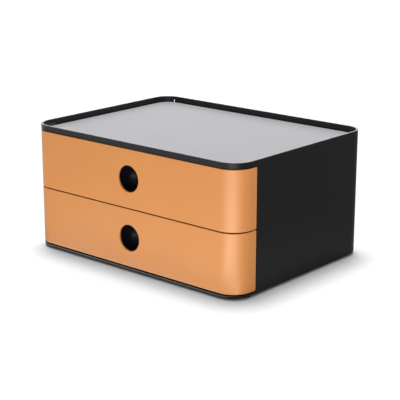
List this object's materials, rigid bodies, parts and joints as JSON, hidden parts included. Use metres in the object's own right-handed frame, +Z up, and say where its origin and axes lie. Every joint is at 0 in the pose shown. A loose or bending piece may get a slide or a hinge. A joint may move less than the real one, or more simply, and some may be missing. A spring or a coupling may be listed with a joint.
{
  "type": "file box with drawers",
  "caption": "Desktop file box with stacked pull-out drawers, round finger holes, wrap-round coloured fronts and a rimmed tray top.",
  "frame": {"origin": "on the desk, under the middle of the closed box", "axes": "+X to the right seen from the front, +Y to the back, +Z up; the drawers pull out along -Y"},
  "size_m": [0.26, 0.195, 0.125],
  "materials": {
    "black_plastic": "satin moulded, fine spark-eroded texture",
    "caramel_plastic": "satin moulded, smooth",
    "satin_metal": "satin, silver grey",
    "black_rubber": "matt"
  },
  "bodies": {
    "housing": {"housing_shell": "black_plastic", "top_plate": "satin_metal", "bottom_panel": "black_plastic", "back_panel": "black_plastic", "divider_shelf": "black_plastic", "foot_front_left": "black_rubber", "foot_rear_left": "black_rubber", "foot_front_right": "black_rubber", "foot_rear_right": "black_rubber"},
    "lower_drawer": {"lower_drawer_front": "caramel_plastic", "lower_drawer_tray": "black_plastic", "lower_finger_cup": "black_plastic"},
    "upper_drawer": {"upper_drawer_front": "caramel_plastic", "upper_drawer_tray": "black_plastic", "upper_finger_cup": "black_plastic"}
  },
  "joints": [
    {"name": "lower_drawer_slide", "type": "slide", "parent": "housing", "child": "lower_drawer", "axis": [0, -1, 0], "range_m": [0, 0.145]},
    {"name": "upper_drawer_slide", "type": "slide", "parent": "housing", "child": "upper_drawer", "axis": [0, -1, 0], "range_m": [0, 0.145]}
  ]
}
